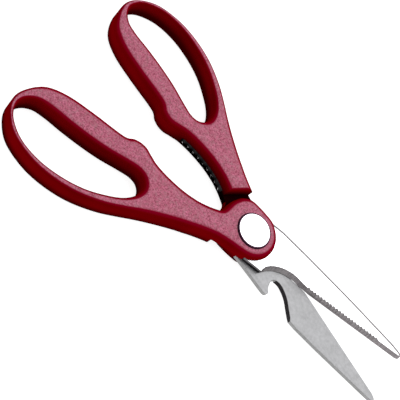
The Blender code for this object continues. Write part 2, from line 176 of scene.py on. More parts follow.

# ---------------------------------------------------------------- colours (linear)
WHITE = (1.0, 1.0, 1.0)
ROSE = ((0.20, 0.045, 0.07), (0.56, 0.17, 0.26))       # grained faces, painted pink as a sheen over the red; dark and light grains
ROSE_GREY = (0.35, 0.20, 0.22)
ROSE_MOTTLE = (0.34, 0.07, 0.11)
CRIMSON = ((0.128, 0.0, 0.0006), (0.172, 0.0, 0.0014))  # smooth walls
# painted light: lighter crimson on the roundings as they tilt towards level
CRIMSON_LIT_EDGE = (0.195, 0.0, 0.012)
# painted shade at the foot of the walls
CRIMSON_FOOT_SHADE = (0.02, 0.0, 0.0002)
HOLE_SHADE = (0.03, 0.0, 0.0002)
HOLLOW_SHADE = (0.002, 0.0002, 0.0002)
# rear steel darker than the front's: partly its ground inner face, partly painted shade
REAR_STEEL = ((0.30, 0.30, 0.305), (0.44, 0.44, 0.45))
REAR_GROUND = ((0.30, 0.29, 0.29), (0.50, 0.50, 0.50))
REAR_SAWN = ((0.22, 0.22, 0.22), (0.36, 0.36, 0.36))
FRONT_STEEL = ((0.68, 0.68, 0.69), (0.76, 0.76, 0.77))
FRONT_GROUND = ((0.27, 0.245, 0.255), (0.56, 0.53, 0.54))
# the front spine's sawn steel, darker than the rear's as painted shade along its chamfer
FRONT_SAWN_SHADED = ((0.14, 0.13, 0.135), (0.20, 0.19, 0.195))
# painted shade: near-black steel on the root's and the opener's walls
SHADED_STEEL = ((0.008, 0.007, 0.008), (0.03, 0.027, 0.03))
# near-black steel for the jaw: partly its own dark tone, partly painted shade of the hollow
JAW_STEEL = ((0.004, 0.004, 0.004), (0.02, 0.018, 0.02))
# painted highlight on the teeth
JAW_GLINT = ((0.7, 0.68, 0.68), (0.9, 0.88, 0.88))
CAP_STEEL = ((0.74, 0.74, 0.75), (0.80, 0.80, 0.81))
# painted shade and reflection of the red handle on the cap's outer ring
CAP_RING = ((0.035, 0.012, 0.026), (0.06, 0.025, 0.045))
ZINC = ((0.42, 0.43, 0.46), (0.6, 0.61, 0.63))
FLOOR_PALE = ((0.42, 0.42, 0.42), (0.45, 0.45, 0.45))

# ---------------------------------------------------------------- outlines (mm)
HANDLE_BACK = [
    (-9.0, 13.9), (-17.0, 15.4), (-28.4, 19.2), (-43.1, 26.1), (-54.1, 32.5), (-64.0, 37.7),
    (-76.0, 41.8), (-88.0, 43.2), (-99.7, 42.1), (-111.4, 37.6), (-118.4, 30.2),
    (-120.6, 23.0), (-118.5, 15.9), (-112.9, 8.9), (-103.2, 5.2), (-90.0, 4.0), (-76.0, 3.6),
    (-71.3, 2.9),
]
STOP_LUG = [(-68.7, 0.6), (-65.2, -0.35), (-61.5, 0.1), (-58.6, 2.0)]
JAR_HOLLOW = [(-54.8, 4.0), (-49.0, 5.4), (-42.5, 6.2), (-36.0, 6.4), (-30.0, 5.8), (-24.5, 4.2)]
HEAD_CORNER = [(-20.2, 2.4), (-17.6, 0.9)]
FINGER_HOLE = [
    (-117.7, 24.6), (-116.0, 19.9), (-111.6, 16.9), (-105.0, 16.0), (-96.0, 16.2),
    (-86.0, 16.0), (-76.0, 15.2), (-66.0, 13.5), (-59.5, 12.8), (-55.0, 14.4),
    (-52.5, 18.6), (-53.6, 23.4), (-57.9, 28.5), (-64.7, 32.9), (-74.1, 37.1),
    (-85.0, 39.4), (-96.4, 39.6), (-107.1, 36.9), (-115.1, 31.0),
]
RICASSO_CORNER = (13.0, 13.0)
BONE_NOTCH = [(29.0, 4.4), (24.4, 4.9), (20.2, 6.4), (16.8, 8.7), (14.2, 11.6)]
FRONT_EDGE = [(34.0, 4.8), (40.0, 5.05), (93.2, 2.75)]  # end of the notch, then the edge
REAR_EDGE = [(34.0, 5.6), (38.0, 6.2), (93.3, 1.5)]
FRONT_TIP = [(88.0, -1.65), (92.0, -0.65), (94.4, 0.15), (95.5, 1.15), (94.9, 2.2)]
REAR_TIP = [(92.8, -2.0), (95.1, -1.4), (96.3, -0.4), (95.5, 0.7)]
HEEL = (14.0, -12.4)
ROOT_X = 3.4                # x where the straight sides meet the round root
PLAIN_SPINE = [(30.0, -10.5), (60.0, -6.3)]
OPENER_HOOK = [(24.4, -12.6), (26.0, -12.0), (26.1, -10.5), (24.2, -8.4)]
OPENER_HOLLOW = [(23.2, -5.4), (24.2, -3.0), (27.0, -2.1), (30.6, -2.7), (34.4, -4.3), (38.0, -6.8)]
OPENER_KNEE = [(41.2, -9.0), (42.6, -10.6)]
OPENER_SPINE = [(46.5, -10.3), (60.0, -8.1)]


# ---------------------------------------------------------------- plane geometry
def polar(radius, angle):
    """Point at a radius and an angle in degrees."""
    a = math.radians(angle)
    return (radius * math.cos(a), radius * math.sin(a))


def arc(radius, start, end, count):
    """Points on an arc round the pivot, both ends included."""
    return [polar(radius, start + (end - start) * i / (count - 1)) for i in range(count)]


def smooth(points, per_span, closed=False):
    """Catmull-Rom curve through the points."""
    count = len(points)
    out = []
    for i in range(count if closed else count - 1):
        if closed:
            p0, p1, p2, p3 = (Vector(points[(i + k) % count]) for k in (-1, 0, 1, 2))
        else:
            p1 = Vector(points[i])
            p2 = Vector(points[i + 1])
            p0 = Vector(points[i - 1]) if i else 2 * p1 - p2
            p3 = Vector(points[i + 2]) if i + 2 < count else 2 * p2 - p1
        for k in range(per_span):
            t = k / per_span
            b = (p2 - p0) * t
            c = (2 * p0 - 5 * p1 + 4 * p2 - p3) * t ** 2
            d = (3 * p1 - p0 - 3 * p2 + p3) * t ** 3
            out.append((2 * p1 + b + c + d) / 2)
    if not closed:
        out.append(Vector(points[-1]))
    return out


def normals(outline):
    """Unit normals pointing into an anticlockwise outline."""
    count = len(outline)
    result = []
    for i in range(count):
        before = (outline[i] - outline[i - 1]).normalized()
        after = (outline[(i + 1) % count] - outline[i]).normalized()
        tangent = (before + after).normalized()
        result.append(Vector((-tangent.y, tangent.x)))
    return result


def inset(outline, depths):
    """The outline moved inwards by its own depth at each point."""
    return [p + n * d for p, n, d in zip(outline, normals(outline), depths)]


def even(points, spacing):
    """The closed outline again with points about spacing apart."""
    count = len(points)
    lengths = [(points[(i + 1) % count] - points[i]).length for i in range(count)]
    total = sum(lengths)
    wanted = round(total / spacing)
    out = []
    i = 0
    passed = 0.0
    for k in range(wanted):
        s = total * k / wanted
        while passed + lengths[i] < s:
            passed += lengths[i]
            i += 1
        out.append(points[i].lerp(points[(i + 1) % count], (s - passed) / lengths[i]))
    return out


def blurred(values):
    count = len(values)
    for _ in range(BLUR_PASSES):
        values = [(values[i - 1] + values[i] + values[(i + 1) % count]) / 3 for i in range(count)]
    return values


def rounding(outline, other, most):
    """Rounding radius at each point, less where the bar is thin or the outline turns tightly."""
    side = normals(outline)
    count = len(outline)
    result = []
    for i, point in enumerate(outline):
        radius = min(most, ROUND_SHARE * min((point - q).length for q in other))
        before = i - TURN_REACH
        after = (i + TURN_REACH) % count
        turn = side[before].angle_signed(side[after], 0.0)
        if turn < -TIGHT_TURN:
            arc_length = (outline[after] - outline[before]).length
            radius = min(radius, CURVE_SHARE * arc_length / -turn)
        result.append(radius)
    reach = range(-BLUR_REACH, BLUR_REACH + 1)
    return blurred([min(result[(i + k) % count] for k in reach) for i in range(count)])


# ---------------------------------------------------------------- solids
def to_mesh(name, bm, matrix):
    """Object from a mesh in millimetres, placed by the half's matrix."""
    bmesh.ops.recalc_face_normals(bm, faces=bm.faces)
    mesh = bpy.data.meshes.new(name)
    bm.to_mesh(mesh)
    bm.free()
    mesh.transform(matrix @ Matrix.Scale(MM, 4))
    obj = bpy.data.objects.new(name, mesh)
    bpy.context.scene.collection.objects.link(obj)
    return obj


def add_sides(bm, rings, slot_of=None):
    """Skin between rings; slot_of(strip, point) gives a face's material slot."""
    loops = [[bm.verts.new(p) for p in ring] for ring in rings]
    for k, (low, high) in enumerate(zip(loops, loops[1:])):
        for i in range(len(low)):
            j = (i + 1) % len(low)
            face = bm.faces.new((low[i], low[j], high[j], high[i]))
            if slot_of:
                face.material_index = slot_of(k, i)
    return loops[0], loops[-1]


def close_ends(bm, skins):
    """Flat faces over the first rings and over the last rings, holed by the later skins."""
    for end in (0, 1):
        loops = [skin[end] for skin in skins]
        flat = [v for loop in loops for v in loop]
        for triangle in tessellate_polygon([[v.co for v in loop] for loop in loops]):
            bm.faces.new([flat[i] for i in triangle])


def level(outline, heights):
    """The outline as a ring at one height, or at a height for each point."""
    if isinstance(heights, float):
        heights = [heights] * len(outline)
    return [(p[0], p[1], z) for p, z in zip(outline, heights)]


def loft(name, rings, matrix, slot_of=None):
    """Closed solid through rings of points, lowest first."""
    bm = bmesh.new()
    low, high = add_sides(bm, rings, slot_of)
    bm.faces.new(high)
    bm.faces.new(low[::-1])
    return to_mesh(name, bm, matrix)


def rounded_rings(outline, radii):
    """Side rings from the low crease over both roundings to the high crease."""
    low = []
    high = []
    for k in range(ROUND_FACETS + 1):
        a = math.pi / 2 * k / ROUND_FACETS
        ring = inset(outline, [r * (1 - math.sin(a)) for r in radii])
        rise = [min(abs(r), ROUND_DROP) * (1 - math.cos(a)) for r in radii]
        low.append(level(ring, rise))
        high.append(level(ring, [THICKNESS - z for z in rise]))
    return low + high[::-1]


def rounded_plate(name, outline, hole, matrix):
    """Handle blank: a plate with one hole, soft outside and tighter round the hole."""
    outer_round = rounding(outline, hole, OUTER_ROUND)
    hole_round = rounding(hole, outline, HOLE_ROUND)
    shares = [
        min(1.0, max(0.0, (p.length - HEAD_REACH) / HEAD_BLEND), max(0.0, p.y / LUG_CLEAR))
        for p in outline
    ]
    outline = inset(outline, [w * SPREAD * (CAD_ROUND - r) for w, r in zip(shares, outer_round)])
    hole = inset(hole, [SPREAD * (r - CAD_ROUND) for r in hole_round])
    bm = bmesh.new()
    skins = [
        add_sides(bm, rounded_rings(outline, outer_round)),
        add_sides(bm, rounded_rings(hole, [-r for r in hole_round])),
    ]
    close_ends(bm, skins)
    return to_mesh(name, bm, matrix)


def turned(name, profile, matrix):
    """Solid turned about the pivot axis from (radius, height) points, both ends on the axis."""
    bm = bmesh.new()
    turns = [2 * math.pi * i / TURNING_STEPS for i in range(TURNING_STEPS)]
    rings = [[(r * math.cos(a), r * math.sin(a), z) for a in turns] for r, z in profile[1:-1]]
    first, last = add_sides(bm, rings)
    bm.faces.new(first[::-1])
    bm.faces.new(last)
    return to_mesh(name, bm, matrix)


def carve(obj, cutters):
    """Cut the cutters out of obj for good, and take them away."""
    for cutter in cutters:
        modifier = obj.modifiers.new(cutter.name, "BOOLEAN")
        modifier.operation = "DIFFERENCE"
        modifier.solver = "EXACT"
        modifier.object = cutter
    bpy.context.view_layer.update()
    evaluated = obj.evaluated_get(bpy.context.evaluated_depsgraph_get())
    mesh = bpy.data.meshes.new_from_object(evaluated)
    obj.modifiers.clear()
    obj.data = mesh
    for cutter in cutters:
        bpy.data.objects.remove(cutter, do_unlink=True)


def coat(obj, materials):
    """Fill the object's material slots; its faces keep the slots they were given."""
    for material in materials:
        obj.data.materials.append(material)


def soften(obj, angle):
    """Smooth shading between edges sharper than the angle, weighted by face size."""
    obj.data.shade_smooth()
    obj.data.set_sharp_from_angle(angle=math.radians(angle))
    weighted = obj.modifiers.new("weighted", "WEIGHTED_NORMAL")
    weighted.keep_sharp = True
    weighted.weight = 100


# ---------------------------------------------------------------- outlines of one half
def handle_outline():
    front = arc(HEAD_RADIUS, -70.0, 85.0, 8)
    lobe = arc(LOBE_RADIUS, 187.0, 226.0, 4)
    corners = front + HANDLE_BACK + STOP_LUG + JAR_HOLLOW + HEAD_CORNER + lobe + [LOBE_END]
    return even(smooth(corners, HANDLE_STEPS, closed=True), OUTLINE_STEP)


def blade_outline(spine, tip_points, edge):
    """Anticlockwise outline of a blade with a round root, and the ground edge's point count."""
    turn, end, start = [Vector(p) for p in edge]
    count = round((end - start).length / (SERRATION_PITCH / EDGE_POINTS))
    straight = [start.lerp(end, i / count) for i in range(1, count)]
    tip = smooth(tip_points + [edge[2]], CURVE_STEPS)
    half = len(tip) // 2
    notch = smooth([end, turn] + BONE_NOTCH + [RICASSO_CORNER], CURVE_STEPS)
    ground = tip[half:] + straight + notch[:-1]
    round_root = arc(HEAD_RADIUS - ROOT_INSET, 80.0, 264.0, 24)
    corners = [RICASSO_CORNER, (ROOT_X, RICASSO_CORNER[1])] + round_root + [(ROOT_X, HEEL[1])]
    root = [Vector(p) for p in corners]
    return ground + root + spine + tip[:half], len(ground)


def jaw_line():
    """The hollow's wall as evenly spaced points, TOOTH_POINTS for each tooth."""
    stretch = [p for p in handle_outline() if JAW_FROM <= p.x <= JAW_TO and p.y < JAW_BELOW]
    lengths = [0.0]
    for a, b in zip(stretch, stretch[1:]):
        lengths.append(lengths[-1] + (b - a).length)
    count = round(lengths[-1] / TOOTH_PITCH) * TOOTH_POINTS
    line = []
    k = 0
    for i in range(count + 1):
        s = lengths[-1] * i / count
        while k < len(lengths) - 2 and lengths[k + 1] < s:
            k += 1
        share = (s - lengths[k]) / (lengths[k + 1] - lengths[k])
        line.append(stretch[k].lerp(stretch[k + 1], share))
    return line


def jaw_outline(proud, depth, tooth, ends):
    """Strip along the hollow's wall: toothed in front, plain behind, lengthened at the ends."""
    line = jaw_line()
    sides = []
    for i in range(len(line)):
        ahead = line[min(i + 1, len(line) - 1)] - line[max(i - 1, 0)]
        sides.append(Vector((-ahead.y, ahead.x)).normalized())
    line[0] = line[0] - (line[1] - line[0]).normalized() * ends
    line[-1] = line[-1] + (line[-1] - line[-2]).normalized() * ends
    rise = (0.0, 0.5, 1.0, 0.5)
    front = [
        p - n * (proud + tooth * rise[i % TOOTH_POINTS])
        for i, (p, n) in enumerate(zip(line, sides))
    ]
    return front + [p + n * depth for p, n in zip(line, sides)][::-1]


# ---------------------------------------------------------------- materials
class Graph:
    """A material's node tree, with short calls for the nodes used here."""

    def __init__(self, name):
        self.material = bpy.data.materials.new(name)
        self.material.use_nodes = True
        self.tree = self.material.node_tree
        self.shader = self.tree.nodes["Principled BSDF"]

    def node(self, kind, **settings):
        made = self.tree.nodes.new(kind)
        for key, value in settings.items():
            setattr(made, key, value)
        return made

    def link(self, source, target):
        self.tree.links.new(source, target)

    def place(self, stretch=(1.0, 1.0, 1.0), turn=0.0):
        """Object coordinates, turned about Z and then stretched."""
        coords = self.node("ShaderNodeTexCoord").outputs["Object"]
        turned_to = self.node("ShaderNodeMapping")
        turned_to.inputs["Rotation"].default_value = (0.0, 0.0, turn)
        self.link(coords, turned_to.inputs["Vector"])
        stretched = self.node("ShaderNodeMapping")
        stretched.inputs["Scale"].default_value = stretch
        self.link(turned_to.outputs["Vector"], stretched.inputs["Vector"])
        return stretched.outputs["Vector"]

    def noise(self, coords, scale, detail=2.0, rough=0.5):
        made = self.node("ShaderNodeTexNoise")
        self.link(coords, made.inputs["Vector"])
        made.inputs["Scale"].default_value = scale
        made.inputs["Detail"].default_value = detail
        made.inputs["Roughness"].default_value = rough
        return made.outputs["Fac"]

    def span(self, value, low, high, to_low=0.0, to_high=1.0, smoothly=False):
        made = self.node("ShaderNodeMapRange")
        if smoothly:
            made.interpolation_type = "SMOOTHSTEP"
        self.link(value, made.inputs["Value"])
        for key, number in (("From Min", low), ("From Max", high),
                            ("To Min", to_low), ("To Max", to_high)):
            made.inputs[key].default_value = number
        return made.outputs["Result"]

    def mix(self, share, a, b):
        """Colour between a and b."""
        made = self.node("ShaderNodeMix", data_type="RGBA")
        for value, key in ((share, 0), (a, 6), (b, 7)):
            if hasattr(value, "is_linked"):
                self.link(value, made.inputs[key])
            else:
                made.inputs[key].default_value = (*value, 1.0)
        return made.outputs[2]

    def blend(self, share, a, b):
        """Number between a and b."""
        made = self.node("ShaderNodeMix", data_type="FLOAT")
        for value, key in ((share, 0), (a, 2), (b, 3)):
            self.link(value, made.inputs[key])
        return made.outputs[0]

    def calc(self, operation, a, b=0.0):
        made = self.node("ShaderNodeMath", operation=operation)
        for value, key in ((a, 0), (b, 1)):
            if hasattr(value, "is_linked"):
                self.link(value, made.inputs[key])
            else:
                made.inputs[key].default_value = value
        return made.outputs[0]

    def levelness(self):
        """1 on level faces and 0 on upright ones."""
        split = self.node("ShaderNodeSeparateXYZ")
        self.link(self.node("ShaderNodeNewGeometry").outputs["Normal"], split.inputs[0])
        return self.calc("ABSOLUTE", split.outputs["Z"])

    def height(self):
        split = self.node("ShaderNodeSeparateXYZ")
        self.link(self.node("ShaderNodeTexCoord").outputs["Object"], split.inputs[0])
        return split.outputs["Z"]

    def from_pivot(self):
        """Distance from the pivot's axis."""
        flat = self.node("ShaderNodeVectorMath", operation="MULTIPLY")
        self.link(self.node("ShaderNodeTexCoord").outputs["Object"], flat.inputs[0])
        flat.inputs[1].default_value = (1.0, 1.0, 0.0)
        length = self.node("ShaderNodeVectorMath", operation="LENGTH")
        self.link(flat.outputs["Vector"], length.inputs[0])
        return length.outputs["Value"]

    def bump(self, height, distance):
        made = self.node("ShaderNodeBump")
        made.inputs["Strength"].default_value = 1.0
        made.inputs["Distance"].default_value = distance
        self.link(height, made.inputs["Height"])
        self.link(made.outputs["Normal"], self.shader.inputs["Normal"])

    def set(self, key, value):
        if hasattr(value, "is_linked"):
            self.link(value, self.shader.inputs[key])
        elif isinstance(value, tuple):
            self.shader.inputs[key].default_value = (*value, 1.0)
        else:
            self.shader.inputs[key].default_value = value


def handle_plastic(name, shade=None):
    """Deep red moulding: grained matt faces with a painted pink sheen, smooth walls painted
    lighter on the roundings as light and darker towards their foot as shade.

    A shade (colour, low, high, near, far) paints further shade on the walls: fully below the share
    low of the thickness and not above high, and less and less from near to far of the pivot.
    """
    g = Graph(name)
    unit = THICKNESS * MM
    coords = g.place()
    grain = g.noise(coords, 1500.0, 3.0, 0.7)
    mottle = g.noise(coords, 260.0, 3.0, 0.6)
    cloud = g.noise(coords, 40.0)
    grey_patch = g.noise(g.place(turn=1.0), 900.0, 2.0, 0.6)

    flat = g.levelness()
    from_middle = g.calc("ABSOLUTE", g.calc("SUBTRACT", g.height(), unit / 2))
    outermost = g.span(from_middle, 0.38 * unit, 0.43 * unit)
    face = g.calc("MULTIPLY", g.span(flat, 0.93, 0.997, smoothly=True), outermost)

    # painted sheen: the level outer faces are painted pink for the light they catch, with grains,
    # grey patches and mottling
    face_sheen = g.mix(g.span(grain, 0.38, 0.62), *ROSE)
    face_sheen = g.mix(g.span(grey_patch, 0.45, 0.7, 0.0, 0.55), face_sheen, ROSE_GREY)
    face_sheen = g.mix(g.span(mottle, 0.3, 0.7, 0.0, 0.4), face_sheen, ROSE_MOTTLE)

    deep = g.mix(g.span(cloud, 0.35, 0.65), *CRIMSON)
    # painted light on the roundings
    deep = g.mix(g.span(flat, 0.65, 0.985, smoothly=True), deep, CRIMSON_LIT_EDGE)
    # painted shade: the walls darken towards their foot
    foot = g.span(g.height(), 0.05 * unit, 0.6 * unit, smoothly=True)
    deep = g.mix(foot, CRIMSON_FOOT_SHADE, deep)
    if shade:
        colour, low, high, near, far = shade
        below = g.span(g.height(), low * unit, high * unit, 1.0, 0.0, smoothly=True)
        reach = g.span(g.from_pivot(), near * MM, far * MM, 1.0, 0.0, smoothly=True)
        deep = g.mix(g.calc("MULTIPLY", below, reach), deep, colour)

    smooth_rough = g.span(mottle, 0.3, 0.7, 0.26, 0.36)
    grained_rough = g.span(grain, 0.3, 0.7, 0.5, 0.68)
    g.set("Base Color", g.mix(face, deep, face_sheen))
    g.set("Roughness", g.blend(face, smooth_rough, grained_rough))
    g.set("Specular IOR Level", g.calc("MULTIPLY", face, 0.02))
    g.bump(g.calc("MULTIPLY", grain, face), 0.06 * MM)
    return g.material


def blade_steel(name, colours, rough, turn):
    """Sheet steel with a fine grain along the blade, cloudy and flecked."""
    g = Graph(name)
    grain = g.noise(g.place((60.0, 1600.0, 300.0), turn), 1.0, 3.0, 0.7)
    cloud = g.noise(g.place(), 120.0, 3.0, 0.6)
    fleck = g.noise(g.place(), 650.0, 2.0, 0.7)
    tone = g.calc("ADD", g.calc("MULTIPLY", g.span(grain, 0.3, 0.7), 0.3),
                  g.calc("MULTIPLY", g.span(cloud, 0.3, 0.7), 0.35))
    tone = g.calc("ADD", tone, g.calc("MULTIPLY", g.span(fleck, 0.35, 0.65), 0.35))
    g.set("Base Color", g.mix(tone, *colours))
    g.set("Metallic", 1.0)
    g.set("Roughness", g.span(grain, 0.25, 0.75, *rough))
    g.bump(grain, 0.015 * MM)
    return g.material


def ground_steel(name, colours, turn):
    """Steel cut by a wheel: scratches across the edge, and painted shade darkening the steeper
    facets.
    """
    steep, flat = colours
    g = Graph(name)
    scratch = g.noise(g.place((1500.0, 120.0, 300.0), turn), 1.0, 3.0, 0.7)
    # painted shade on the steeper facets
    tone = g.mix(g.span(g.levelness(), 0.3, 0.8, smoothly=True), steep, flat)
    in_scratch = tuple(c * 0.4 for c in steep)
    g.set("Base Color", g.mix(g.span(scratch, 0.35, 0.65, 0.0, 0.45), tone, in_scratch))
    g.set("Metallic", 1.0)
    g.set("Roughness", g.span(scratch, 0.3, 0.7, 0.38, 0.55))
    g.bump(scratch, 0.02 * MM)
    return g.material


def plain_metal(name, colours, rough, scale):
    """Metal with a cloudy tone and a fine bump, both at the given noise scale."""
    g = Graph(name)
    cloud = g.noise(g.place(), scale, 4.0, 0.6)
    g.set("Base Color", g.mix(g.span(cloud, 0.3, 0.7), *colours))
    g.set("Metallic", 1.0)
    g.set("Roughness", g.span(cloud, 0.3, 0.7, *rough))
    g.bump(g.noise(g.place(), scale * 4), 0.01 * MM)
    return g.material


def floor_white(name):
    g = Graph(name)
    tone = g.noise(g.place(), 3.0)
    g.set("Base Color", g.mix(tone, *FLOOR_PALE))
    g.set("Roughness", g.span(tone, 0.3, 0.7, 0.85, 0.95))
    g.set("Emission Color", WHITE)
    g.set("Emission Strength", 0.87)
    return g.material


# ---------------------------------------------------------------- pieces of one half
def plate_cutter(name, outline, low, high, matrix):
    return loft(name, [level(outline, low), level(outline, high)], matrix)


def shoulder_cutter(matrix):
    """Cutter that thins the handle round the pivot, with a rounding up to the full thickness."""
    out = Vector((*polar(1.0, SHOULDER_ANGLE), 0.0))
    up = Vector((0.0, 0.0, 1.0))
    to_shoulder = Matrix((out, up, out.cross(up))).transposed().to_4x4()
    foot = THICKNESS - SHOULDER_ROUND
    profile = [(-FAR, BLADE_HIGH), (SHOULDER, BLADE_HIGH), (SHOULDER, foot)]
    for i in range(1, ROUND_FACETS + 1):
        a = math.pi / 2 * i / ROUND_FACETS
        back = SHOULDER_ROUND * (1 - math.cos(a))
        profile.append((SHOULDER + back, foot + SHOULDER_ROUND * math.sin(a)))
    profile += [(SHOULDER + SHOULDER_ROUND, THICKNESS + OVERRUN), (-FAR, THICKNESS + OVERRUN)]
    return plate_cutter("shoulder_cutter", profile, -FAR, FAR, matrix @ to_shoulder)


def disc_cutter(name, radius, low, high, matrix):
    return turned(name, [(0.0, low), (radius, low), (radius, high), (0.0, high)], matrix)


def make_handle(name, matrix, blade):
    """Moulding with the step, the jaw's recess, the blade's pocket and the pivot's well."""
    hole = even(smooth(FINGER_HOLE, HANDLE_STEPS, closed=True), OUTLINE_STEP)
    handle = rounded_plate(name, handle_outline(), hole, matrix)
    recess = jaw_outline(JAW_RECESS, JAW_DEPTH + JAW_CLEAR, 0.0, JAW_CLEAR)
    root = [p for p in blade if p.x < TANG_END]
    pocket = inset(root, [-TANG_CLEAR] * len(root))
    carve(handle, [
        shoulder_cutter(matrix),
        plate_cutter("jaw_cutter", recess, JAW_LOW - JAW_CLEAR, JAW_HIGH + JAW_CLEAR, matrix),
        plate_cutter("pocket_cutter", pocket, BLADE_LOW - TANG_CLEAR_HIGH,
                     BLADE_HIGH + TANG_CLEAR_HIGH, matrix),
        disc_cutter("cap_cutter", CAP_RADIUS + CAP_GROOVE, -CAP_OVERRUN, GROOVE_DEPTH, matrix),
        disc_cutter("well_cutter", WELL_RADIUS, WELL_LOW, WELL_HIGH, matrix),
    ])
    soften(handle, SHARP_HANDLE)
    return handle


def shade_walls(handle, matrix):
    """Give the finger hole's walls, and the walls by the jaw, on the step and the ledges, their own
    slots with painted shade.
    """
    own = matrix.inverted()
    rim = even(smooth(FINGER_HOLE, HANDLE_STEPS, closed=True), HOLE_WALL_REACH)
    out = Vector(polar(1.0, SHOULDER_ANGLE))
    (x0, x1), (y0, y1) = HOLLOW_WALL
    for face in handle.data.polygons:
        at = ((own @ face.center) / MM).to_2d()
        height = (own @ face.center).z / MM
        across = (own.to_3x3() @ face.normal).to_2d()
        beyond = at.dot(out) - SHOULDER
        by_jaw = x0 < at.x < x1 and y0 < at.y < y1
        on_step = abs(across.dot(out)) > WALL_SLOPE and -STEP_BEHIND < beyond < SHOULDER_ROUND
        if across.length < WALL_SLOPE:
            ledge = WELL_LOW < height < BLADE_HIGH + TANG_CLEAR_HIGH
            face.material_index = HOLLOW if ledge else 0
        elif by_jaw or on_step:
            face.material_index = HOLLOW
        elif min((at - p).length for p in rim) < HOLE_WALL_REACH:
            face.material_index = HOLE


def bevel_width(side, x, from_ends):
    """Width of the ground bevel at a point so many points from the bevel's nearer end."""
    width = BEVEL_WIDTH[side]
    if side == "front" and x < SERRATED_FROM:
        width += (NOTCH_BEVEL - width) * min(1.0, (SERRATED_FROM - x) / NOTCH_BLEND)
    return width * min(1.0, (from_ends + 1) / BEVEL_RUN_IN)


def scallop_depth(side, x):
    if side == "rear" or not SERRATED_FROM < x < SERRATED_TO:
        return 0.0
    return SERRATION_DEPTH * abs(math.sin(math.pi * (x - SERRATED_FROM) / SERRATION_PITCH))


def on_opener(side, point):
    (x0, x1), (y0, y1) = OPENER_WALL
    return side == "rear" and x0 < point.x < x1 and y0 < point.y < y1


def make_blade(name, outline, ground_count, side, matrix, steels):
    """Blade with a hollow-ground edge, a chamfered spine and painted shade on the root and opener
    walls.

    Each point of the outline has four (inset, rise) pairs, from the outer face to the inner.
    """
    height = BLADE_HIGH - BLADE_LOW - EDGE_LAND
    rows = []
    slots = []
    for i, point in enumerate(outline):
        if i < ground_count:
            width = bevel_width(side, point.x, min(i, ground_count - 1 - i))
            insets = (width + scallop_depth(side, point.x), width * BEVEL_HOLLOW[0], 0.0, 0.0)
            bend = height * BEVEL_HOLLOW[1]
            slots.append((GROUND, GROUND, GROUND))
        elif on_opener(side, point):
            insets = (-OPENER_FLARE, -OPENER_FLARE_SHARE * OPENER_FLARE, 0.0, EDGE_LAND / 2)
            bend = CHAMFER[side][1]
            slots.append((SHADED, SHADED, GROUND))
        else:
            root = point.x < ROOT_REACH and point.y > 0.0
            width, bend = ROOT_CHAMFER if root else CHAMFER[side]
            insets = (width, 0.0, 0.0, INNER_EDGE)
            slots.append((SAWN, SHADED if root else SAWN, GROUND))
        rows.append(tuple(zip(insets, (0.0, bend, height, height + EDGE_LAND))))
    rings = [
        level(inset(outline, [depth for depth, _ in strip]), [BLADE_LOW + rise for _, rise in strip])
        for strip in zip(*rows)
    ]
    bore = [polar(SCREW_BORE, 360 * i / BORE_STEPS) for i in range(BORE_STEPS)]
    bm = bmesh.new()
    skins = [
        add_sides(bm, rings, lambda strip, point: slots[point][strip]),
        add_sides(bm, [level(bore, BLADE_LOW), level(bore, BLADE_HIGH)]),
    ]
    close_ends(bm, skins)
    blade = to_mesh(name, bm, matrix)
    coat(blade, steels)
    soften(blade, SHARP_BLADE)
    return blade


def make_jaw(name, matrix, metals):
    """Toothed plate; the lower end of one flank of each tooth has a painted highlight."""
    outline = jaw_outline(-TOOTH_SINK, JAW_DEPTH, TOOTH_HEIGHT, 0.0)
    toothed = len(outline) // 2
    broken = inset(outline, [JAW_BREAK] * len(outline))
    rings = [
        level(broken, JAW_LOW), level(outline, JAW_LOW + JAW_BREAK_HIGH),
        level(outline, JAW_LOW + TOOTH_GLINT), level(outline, JAW_HIGH - JAW_BREAK_HIGH),
        level(broken, JAW_HIGH),
    ]

    def slot_of(strip, point):
        return GLINT if strip < 2 and point < toothed and point % TOOTH_POINTS == 1 else 0

    jaw = loft(name, rings, matrix, slot_of)
    coat(jaw, metals)
    soften(jaw, SHARP_JAW)
    return jaw


def make_cap(name, stand, crown, matrix, metals):
    """Polished disc with a rolled rim, its outer side lowest in the half's own frame."""
    r = CAP_RADIUS
    profile = [(0.0, -stand - crown)]
    for k in range(1, CAP_RINGS - 1):
        drop = crown * (1 - (k / CAP_RINGS) ** 2)
        profile.append((r * k / CAP_RINGS, -stand - drop))
    profile.append((r - CAP_RIM, -stand - CAP_CROWN_SHARE * crown))
    for k in range(CAP_EDGE_STEPS + 1):
        a = math.pi / 2 * k / CAP_EDGE_STEPS
        out = r - CAP_EDGE + CAP_EDGE * math.sin(a)
        profile.append((out, CAP_EDGE * (1 - math.cos(a)) - stand))
    profile += [(r, CAP_DEPTH - CAP_BREAK), (r - CAP_BREAK, CAP_DEPTH), (0.0, CAP_DEPTH)]
    cap = turned(name, profile, matrix)
    coat(cap, metals)
    # the outer ring gets the painted shade and reflection
    for face in cap.data.polygons:
        across = (face.center / MM).to_2d().length
        face.material_index = RIM if across > r - CAP_RIM else 0
    soften(cap, SHARP_CAP)
    return cap


# ---------------------------------------------------------------- build
half_turn = math.radians(OPENING / 2)
rear_matrix = Matrix.Rotation(-half_turn, 4, "Z")
front_matrix = (Matrix.Translation((0.0, 0.0, THICKNESS * MM))
                @ Matrix.Rotation(half_turn, 4, "Z") @ Matrix.Rotation(math.pi, 4, "X"))

